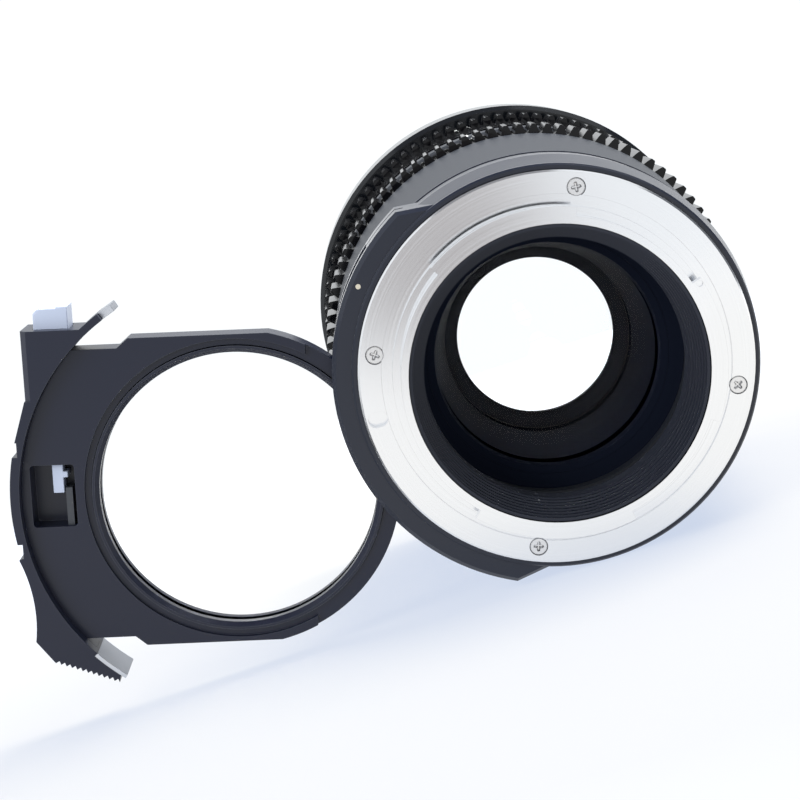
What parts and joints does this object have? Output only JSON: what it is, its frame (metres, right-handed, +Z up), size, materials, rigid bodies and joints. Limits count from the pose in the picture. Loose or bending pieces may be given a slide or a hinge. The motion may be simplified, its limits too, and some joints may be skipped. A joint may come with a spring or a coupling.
{
  "type": "cine prime lens",
  "caption": "Cine prime lens with bayonet mount, geared iris and focus rings, and a drop-in filter tray drawn out of the slot behind its flange.",
  "frame": {"origin": "centre of the bayonet flange's rear face, on the optical axis", "axes": "+Y along the optical axis towards the front of the lens, +Z up, and the filter tray leaves its slot towards -X"},
  "size_m": [0.1364, 0.0977, 0.08],
  "materials": {
    "chromed_metal": "polished",
    "bright_steel": "polished",
    "black_screws": "blackened",
    "black_housing": "satin anodised",
    "matte_black": "matte anodised",
    "gloss_black": "gloss anodised",
    "tray_black": "satin anodised",
    "blade_steel": "blued",
    "lens_glass": "clear, coated",
    "filter_pane": "clear",
    "brass_ring": "machined",
    "white_plastic": "smooth",
    "grey_spring": "satin",
    "orange_paint": "paint"
  },
  "bodies": {
    "barrel": {"mount_flange": "chromed_metal", "mount_screws": "bright_steel", "guide_rods": "bright_steel", "housing_screws": "black_screws", "rear_housing": "black_housing", "rear_baffle": "matte_black", "rear_cell": "matte_black", "rear_retaining_ring": "matte_black", "inner_retaining_ring": "matte_black", "middle_cell": "matte_black", "front_trim_ring": "matte_black", "iris_base": "matte_black", "iris_keeper": "matte_black", "main_barrel": "gloss_black", "scale_ring": "gloss_black", "front_barrel": "gloss_black", "focus_sleeve": "gloss_black", "rear_glass": "lens_glass", "inner_rear_glass": "lens_glass", "middle_glass": "lens_glass", "alignment_mark": "orange_paint"},
    "iris_ring": {"iris_ring": "gloss_black", "iris_actuator": "matte_black", "iris_drive_pin": "bright_steel"},
    "focus_ring": {"focus_ring": "gloss_black", "helicoid_ring": "brass_ring", "focus_drive_key": "bright_steel"},
    "focus_cell": {"focus_cell": "matte_black", "inner_front_glass": "lens_glass", "inner_front_ring": "matte_black", "front_glass": "lens_glass", "front_retaining_ring": "matte_black"},
    "filter": {"filter_ring": "tray_black", "filter_glass": "filter_pane"},
    "filter_tray": {"tray_frame": "tray_black", "tray_grip": "tray_black", "lock_leaf": "grey_spring", "upper_catch": "bright_steel", "lower_catch": "bright_steel", "grip_screws": "black_screws"},
    "release_button": {"release_button": "white_plastic"},
    "blade_01": {"iris_blade_01": "blade_steel"},
    "blade_02": {"iris_blade_02": "blade_steel"},
    "blade_03": {"iris_blade_03": "blade_steel"},
    "blade_04": {"iris_blade_04": "blade_steel"},
    "blade_05": {"iris_blade_05": "blade_steel"},
    "blade_06": {"iris_blade_06": "blade_steel"},
    "blade_07": {"iris_blade_07": "blade_steel"},
    "blade_08": {"iris_blade_08": "blade_steel"},
    "blade_09": {"iris_blade_09": "blade_steel"},
    "blade_10": {"iris_blade_10": "blade_steel"}
  },
  "joints": [
    {"name": "iris_turn", "type": "hinge", "parent": "barrel", "child": "iris_ring", "pos_m": [0, 0.0446, 0], "axis": [0, -1, 0], "range_deg": [0, 72]},
    {"name": "focus_turn", "type": "hinge", "parent": "barrel", "child": "focus_ring", "pos_m": [0, 0.0717, 0], "axis": [0, -1, 0], "range_deg": [0, 270]},
    {"name": "focus_slide", "type": "slide", "parent": "barrel", "child": "focus_cell", "axis": [0, 1, 0], "range_m": [0, 0.00501]},
    {"name": "tray_slide", "type": "slide", "parent": "barrel", "child": "filter", "axis": [0.9978, 0, 0.0664], "range_m": [-0.01, 0.05522]},
    {"name": "tray_swing", "type": "hinge", "parent": "filter", "child": "filter_tray", "pos_m": [-0.0561, 0.0071, -0.00327], "axis": [0, -1, 0], "range_deg": [-2.95, 16.31]},
    {"name": "release_press", "type": "slide", "parent": "filter_tray", "child": "release_button", "axis": [-0.2807, 0, -0.9598], "range_m": [0, 0.0012], "stiffness_N_per_m": 400, "springref_m": -0.001},
    {"name": "blade_01_swing", "type": "hinge", "parent": "barrel", "child": "blade_01", "pos_m": [0.0218, 0.0385, 0], "axis": [0, -1, 0], "range_deg": [0, 32.01]},
    {"name": "blade_02_swing", "type": "hinge", "parent": "barrel", "child": "blade_02", "pos_m": [0.01764, 0.0385, 0.01281], "axis": [0, -1, 0], "range_deg": [0, 32.01]},
    {"name": "blade_03_swing", "type": "hinge", "parent": "barrel", "child": "blade_03", "pos_m": [0.00674, 0.0385, 0.02073], "axis": [0, -1, 0], "range_deg": [0, 32.01]},
    {"name": "blade_04_swing", "type": "hinge", "parent": "barrel", "child": "blade_04", "pos_m": [-0.00674, 0.0385, 0.02073], "axis": [0, -1, 0], "range_deg": [0, 32.01]},
    {"name": "blade_05_swing", "type": "hinge", "parent": "barrel", "child": "blade_05", "pos_m": [-0.01764, 0.0385, 0.01281], "axis": [0, -1, 0], "range_deg": [0, 32.01]},
    {"name": "blade_06_swing", "type": "hinge", "parent": "barrel", "child": "blade_06", "pos_m": [-0.0218, 0.0385, 0], "axis": [0, -1, 0], "range_deg": [0, 32.01]},
    {"name": "blade_07_swing", "type": "hinge", "parent": "barrel", "child": "blade_07", "pos_m": [-0.01764, 0.0385, -0.01281], "axis": [0, -1, 0], "range_deg": [0, 32.01]},
    {"name": "blade_08_swing", "type": "hinge", "parent": "barrel", "child": "blade_08", "pos_m": [-0.00674, 0.0385, -0.02073], "axis": [0, -1, 0], "range_deg": [0, 32.01]},
    {"name": "blade_09_swing", "type": "hinge", "parent": "barrel", "child": "blade_09", "pos_m": [0.00674, 0.0385, -0.02073], "axis": [0, -1, 0], "range_deg": [0, 32.01]},
    {"name": "blade_10_swing", "type": "hinge", "parent": "barrel", "child": "blade_10", "pos_m": [0.01764, 0.0385, -0.01281], "axis": [0, -1, 0], "range_deg": [0, 32.01]}
  ],
  "couplings": [
    {"joint": "focus_slide", "follows": "focus_turn", "m_per_rad": 0.001061},
    {"joint": "tray_swing", "follows": "tray_slide", "rad_per_m": 5.152},
    {"joint": "blade_01_swing", "follows": "iris_turn", "ratio": 0.44444},
    {"joint": "blade_02_swing", "follows": "iris_turn", "ratio": 0.44444},
    {"joint": "blade_03_swing", "follows": "iris_turn", "ratio": 0.44444},
    {"joint": "blade_04_swing", "follows": "iris_turn", "ratio": 0.44444},
    {"joint": "blade_05_swing", "follows": "iris_turn", "ratio": 0.44444},
    {"joint": "blade_06_swing", "follows": "iris_turn", "ratio": 0.44444},
    {"joint": "blade_07_swing", "follows": "iris_turn", "ratio": 0.44444},
    {"joint": "blade_08_swing", "follows": "iris_turn", "ratio": 0.44444},
    {"joint": "blade_09_swing", "follows": "iris_turn", "ratio": 0.44444},
    {"joint": "blade_10_swing", "follows": "iris_turn", "ratio": 0.44444}
  ]
}
